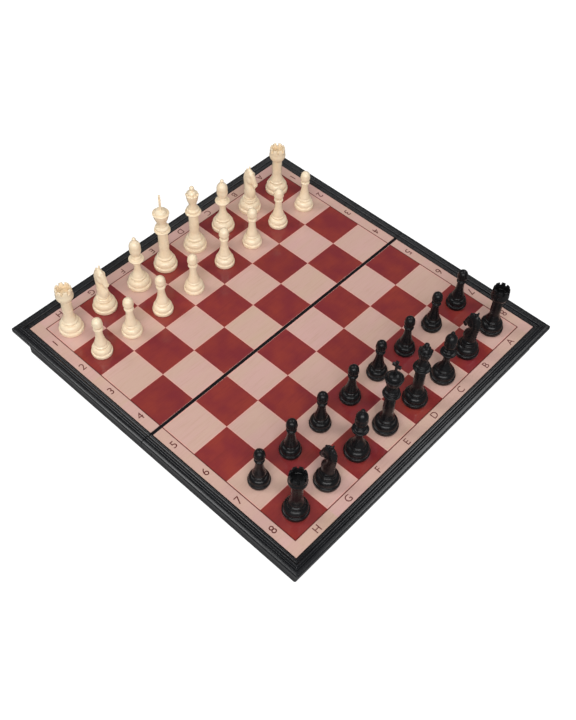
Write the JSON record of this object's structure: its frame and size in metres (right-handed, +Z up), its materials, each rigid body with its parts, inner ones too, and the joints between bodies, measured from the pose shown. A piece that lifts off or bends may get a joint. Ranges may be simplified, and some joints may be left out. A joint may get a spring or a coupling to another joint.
{
  "type": "folding magnetic chess set",
  "caption": "Folding chess board of two hinged shallow trays with a ridged frame and a printed playing sheet, set up with ivory and black magnetic pieces.",
  "frame": {"origin": "on the table, under the middle of the open board", "axes": "+X along the ranks from file a to file h, +Y along the files from rank 1 to rank 8, +Z up"},
  "size_m": [0.276, 0.2788, 0.0983],
  "materials": {
    "black_plastic": "satin black moulded plastic with bright highlights along the ridges",
    "printed_sheet": "glossy laminated print of mahogany red and pinkish beige wood-grain squares",
    "steel_plate": "plain rolled steel sheet",
    "hinge_steel": "drawn steel wire",
    "rubber": "soft black rubber",
    "magnet": "nickel plated magnet",
    "ivory_plastic": "glossy ivory moulded plastic",
    "ebony_plastic": "glossy black moulded plastic"
  },
  "bodies": {
    "front_half": {"front_tray": "black_plastic", "front_frame": "black_plastic", "front_steel_plate": "steel_plate", "front_printed_sheet": "printed_sheet", "front_foot_1": "rubber", "front_foot_2": "rubber", "front_foot_3": "rubber", "front_foot_4": "rubber", "front_closing_magnet_1": "magnet", "front_closing_magnet_2": "magnet", "hinge_pin_a": "hinge_steel", "hinge_pin_h": "hinge_steel"},
    "rear_half": {"rear_tray": "black_plastic", "rear_frame": "black_plastic", "rear_steel_plate": "steel_plate", "rear_printed_sheet": "printed_sheet", "rear_foot_1": "rubber", "rear_foot_2": "rubber", "rear_foot_3": "rubber", "rear_foot_4": "rubber", "rear_closing_magnet_1": "magnet", "rear_closing_magnet_2": "magnet"},
    "white_rook_a": {"white_rook_a": "ivory_plastic"},
    "white_knight_b": {"white_knight_b": "ivory_plastic"},
    "white_bishop_c": {"white_bishop_c": "ivory_plastic"},
    "white_queen": {"white_queen": "ivory_plastic"},
    "white_king": {"white_king": "ivory_plastic"},
    "white_bishop_f": {"white_bishop_f": "ivory_plastic"},
    "white_knight_g": {"white_knight_g": "ivory_plastic"},
    "white_rook_h": {"white_rook_h": "ivory_plastic"},
    "white_pawn_a": {"white_pawn_a": "ivory_plastic"},
    "white_pawn_b": {"white_pawn_b": "ivory_plastic"},
    "white_pawn_c": {"white_pawn_c": "ivory_plastic"},
    "white_pawn_d": {"white_pawn_d": "ivory_plastic"},
    "white_pawn_e": {"white_pawn_e": "ivory_plastic"},
    "white_pawn_f": {"white_pawn_f": "ivory_plastic"},
    "white_pawn_g": {"white_pawn_g": "ivory_plastic"},
    "white_pawn_h": {"white_pawn_h": "ivory_plastic"},
    "black_rook_a": {"black_rook_a": "ebony_plastic"},
    "black_knight_b": {"black_knight_b": "ebony_plastic"},
    "black_bishop_c": {"black_bishop_c": "ebony_plastic"},
    "black_queen": {"black_queen": "ebony_plastic"},
    "black_king": {"black_king": "ebony_plastic"},
    "black_bishop_f": {"black_bishop_f": "ebony_plastic"},
    "black_knight_g": {"black_knight_g": "ebony_plastic"},
    "black_rook_h": {"black_rook_h": "ebony_plastic"},
    "black_pawn_a": {"black_pawn_a": "ebony_plastic"},
    "black_pawn_b": {"black_pawn_b": "ebony_plastic"},
    "black_pawn_c": {"black_pawn_c": "ebony_plastic"},
    "black_pawn_d": {"black_pawn_d": "ebony_plastic"},
    "black_pawn_e": {"black_pawn_e": "ebony_plastic"},
    "black_pawn_f": {"black_pawn_f": "ebony_plastic"},
    "black_pawn_g": {"black_pawn_g": "ebony_plastic"},
    "black_pawn_h": {"black_pawn_h": "ebony_plastic"}
  },
  "joints": [
    {"name": "board_fold", "type": "hinge", "parent": "front_half", "child": "rear_half", "pos_m": [0, 0, 0.00205], "axis": [-1, 0, 0], "range_deg": [0, 180]},
    {"name": "lift_white_rook_a", "type": "slide", "parent": "front_half", "child": "white_rook_a", "axis": [0, 0, 1], "range_m": [0, 0.08]},
    {"name": "lift_white_knight_b", "type": "slide", "parent": "front_half", "child": "white_knight_b", "axis": [0, 0, 1], "range_m": [0, 0.08]},
    {"name": "lift_white_bishop_c", "type": "slide", "parent": "front_half", "child": "white_bishop_c", "axis": [0, 0, 1], "range_m": [0, 0.08]},
    {"name": "lift_white_queen", "type": "slide", "parent": "front_half", "child": "white_queen", "axis": [0, 0, 1], "range_m": [0, 0.08]},
    {"name": "lift_white_king", "type": "slide", "parent": "front_half", "child": "white_king", "axis": [0, 0, 1], "range_m": [0, 0.08]},
    {"name": "lift_white_bishop_f", "type": "slide", "parent": "front_half", "child": "white_bishop_f", "axis": [0, 0, 1], "range_m": [0, 0.08]},
    {"name": "lift_white_knight_g", "type": "slide", "parent": "front_half", "child": "white_knight_g", "axis": [0, 0, 1], "range_m": [0, 0.08]},
    {"name": "lift_white_rook_h", "type": "slide", "parent": "front_half", "child": "white_rook_h", "axis": [0, 0, 1], "range_m": [0, 0.08]},
    {"name": "lift_white_pawn_a", "type": "slide", "parent": "front_half", "child": "white_pawn_a", "axis": [0, 0, 1], "range_m": [0, 0.08]},
    {"name": "lift_white_pawn_b", "type": "slide", "parent": "front_half", "child": "white_pawn_b", "axis": [0, 0, 1], "range_m": [0, 0.08]},
    {"name": "lift_white_pawn_c", "type": "slide", "parent": "front_half", "child": "white_pawn_c", "axis": [0, 0, 1], "range_m": [0, 0.08]},
    {"name": "lift_white_pawn_d", "type": "slide", "parent": "front_half", "child": "white_pawn_d", "axis": [0, 0, 1], "range_m": [0, 0.08]},
    {"name": "lift_white_pawn_e", "type": "slide", "parent": "front_half", "child": "white_pawn_e", "axis": [0, 0, 1], "range_m": [0, 0.08]},
    {"name": "lift_white_pawn_f", "type": "slide", "parent": "front_half", "child": "white_pawn_f", "axis": [0, 0, 1], "range_m": [0, 0.08]},
    {"name": "lift_white_pawn_g", "type": "slide", "parent": "front_half", "child": "white_pawn_g", "axis": [0, 0, 1], "range_m": [0, 0.08]},
    {"name": "lift_white_pawn_h", "type": "slide", "parent": "front_half", "child": "white_pawn_h", "axis": [0, 0, 1], "range_m": [0, 0.08]},
    {"name": "lift_black_rook_a", "type": "slide", "parent": "rear_half", "child": "black_rook_a", "axis": [0, 0, 1], "range_m": [0, 0.08]},
    {"name": "lift_black_knight_b", "type": "slide", "parent": "rear_half", "child": "black_knight_b", "axis": [0, 0, 1], "range_m": [0, 0.08]},
    {"name": "lift_black_bishop_c", "type": "slide", "parent": "rear_half", "child": "black_bishop_c", "axis": [0, 0, 1], "range_m": [0, 0.08]},
    {"name": "lift_black_queen", "type": "slide", "parent": "rear_half", "child": "black_queen", "axis": [0, 0, 1], "range_m": [0, 0.08]},
    {"name": "lift_black_king", "type": "slide", "parent": "rear_half", "child": "black_king", "axis": [0, 0, 1], "range_m": [0, 0.08]},
    {"name": "lift_black_bishop_f", "type": "slide", "parent": "rear_half", "child": "black_bishop_f", "axis": [0, 0, 1], "range_m": [0, 0.08]},
    {"name": "lift_black_knight_g", "type": "slide", "parent": "rear_half", "child": "black_knight_g", "axis": [0, 0, 1], "range_m": [0, 0.08]},
    {"name": "lift_black_rook_h", "type": "slide", "parent": "rear_half", "child": "black_rook_h", "axis": [0, 0, 1], "range_m": [0, 0.08]},
    {"name": "lift_black_pawn_a", "type": "slide", "parent": "rear_half", "child": "black_pawn_a", "axis": [0, 0, 1], "range_m": [0, 0.08]},
    {"name": "lift_black_pawn_b", "type": "slide", "parent": "rear_half", "child": "black_pawn_b", "axis": [0, 0, 1], "range_m": [0, 0.08]},
    {"name": "lift_black_pawn_c", "type": "slide", "parent": "rear_half", "child": "black_pawn_c", "axis": [0, 0, 1], "range_m": [0, 0.08]},
    {"name": "lift_black_pawn_d", "type": "slide", "parent": "rear_half", "child": "black_pawn_d", "axis": [0, 0, 1], "range_m": [0, 0.08]},
    {"name": "lift_black_pawn_e", "type": "slide", "parent": "rear_half", "child": "black_pawn_e", "axis": [0, 0, 1], "range_m": [0, 0.08]},
    {"name": "lift_black_pawn_f", "type": "slide", "parent": "rear_half", "child": "black_pawn_f", "axis": [0, 0, 1], "range_m": [0, 0.08]},
    {"name": "lift_black_pawn_g", "type": "slide", "parent": "rear_half", "child": "black_pawn_g", "axis": [0, 0, 1], "range_m": [0, 0.08]},
    {"name": "lift_black_pawn_h", "type": "slide", "parent": "rear_half", "child": "black_pawn_h", "axis": [0, 0, 1], "range_m": [0, 0.08]}
  ]
}
